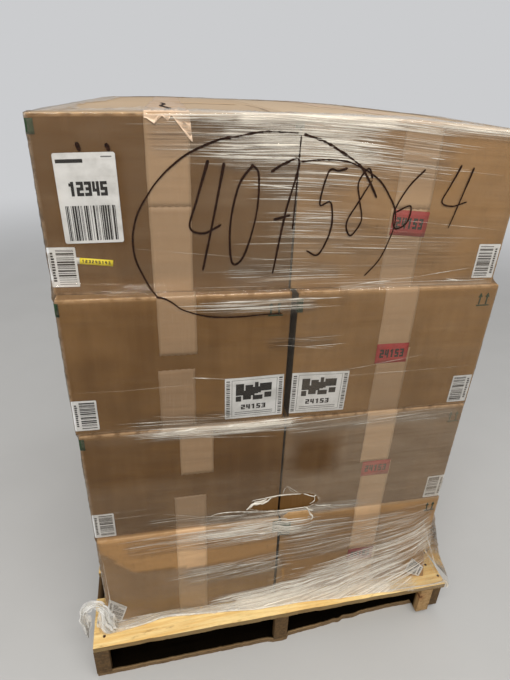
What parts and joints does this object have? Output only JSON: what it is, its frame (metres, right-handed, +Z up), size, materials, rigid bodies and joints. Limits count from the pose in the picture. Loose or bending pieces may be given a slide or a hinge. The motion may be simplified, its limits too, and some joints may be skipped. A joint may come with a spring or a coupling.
{
  "type": "shrink wrapped pallet load",
  "caption": "Taped cartons stacked on a wooden stringer pallet, held together by clear stretch film folded over the top and drawn down to the deck.",
  "frame": {"origin": "middle of the pallet's footprint, on the floor", "axes": "+X along the pictured front, to the viewer's right; +Y into the load, away from the viewer; +Z up"},
  "size_m": [1.016, 1.219, 1.3799],
  "materials": {
    "carton_board": "matt corrugated kraft board",
    "carton_tape": "satin clear-tan packing tape",
    "pallet_deck_wood": "rough sawn, fairly new",
    "pallet_frame_wood": "rough sawn, worn and grey",
    "nail_steel": "dull",
    "stretch_film": "clear, glossy and creased"
  },
  "bodies": {
    "root": {"carton_tape_tier_1": "carton_tape", "carton_tape_tier_2": "carton_tape", "carton_tape_tier_3": "carton_tape", "carton_tape_tier_4": "carton_tape", "carton_tier_1_back_left": "carton_board", "carton_tier_1_back_right": "carton_board", "carton_tier_1_front_left": "carton_board", "carton_tier_1_front_right": "carton_board", "carton_tier_2_back_left": "carton_board", "carton_tier_2_back_right": "carton_board", "carton_tier_2_front_left": "carton_board", "carton_tier_2_front_right": "carton_board", "carton_tier_3_back_left": "carton_board", "carton_tier_3_back_right": "carton_board", "carton_tier_3_front_left": "carton_board", "carton_tier_3_front_right": "carton_board", "carton_tier_4_back_left": "carton_board", "carton_tier_4_back_right": "carton_board", "carton_tier_4_front_left": "carton_board", "carton_tier_4_front_right": "carton_board", "pallet_bottom_board_1": "pallet_frame_wood", "pallet_bottom_board_2": "pallet_frame_wood", "pallet_bottom_board_3": "pallet_frame_wood", "pallet_bottom_board_4": "pallet_frame_wood", "pallet_bottom_board_5": "pallet_frame_wood", "pallet_deck_board_1": "pallet_deck_wood", "pallet_deck_board_2": "pallet_deck_wood", "pallet_deck_board_3": "pallet_deck_wood", "pallet_deck_board_4": "pallet_deck_wood", "pallet_deck_board_5": "pallet_deck_wood", "pallet_deck_board_6": "pallet_deck_wood", "pallet_deck_board_7": "pallet_deck_wood", "pallet_nail_heads": "nail_steel", "pallet_stringer_left": "pallet_frame_wood", "pallet_stringer_middle": "pallet_frame_wood", "pallet_stringer_right": "pallet_frame_wood", "pallet_stringer_right_companion": "pallet_frame_wood", "stretch_wrap": "stretch_film"}
  },
  "joints": []
}
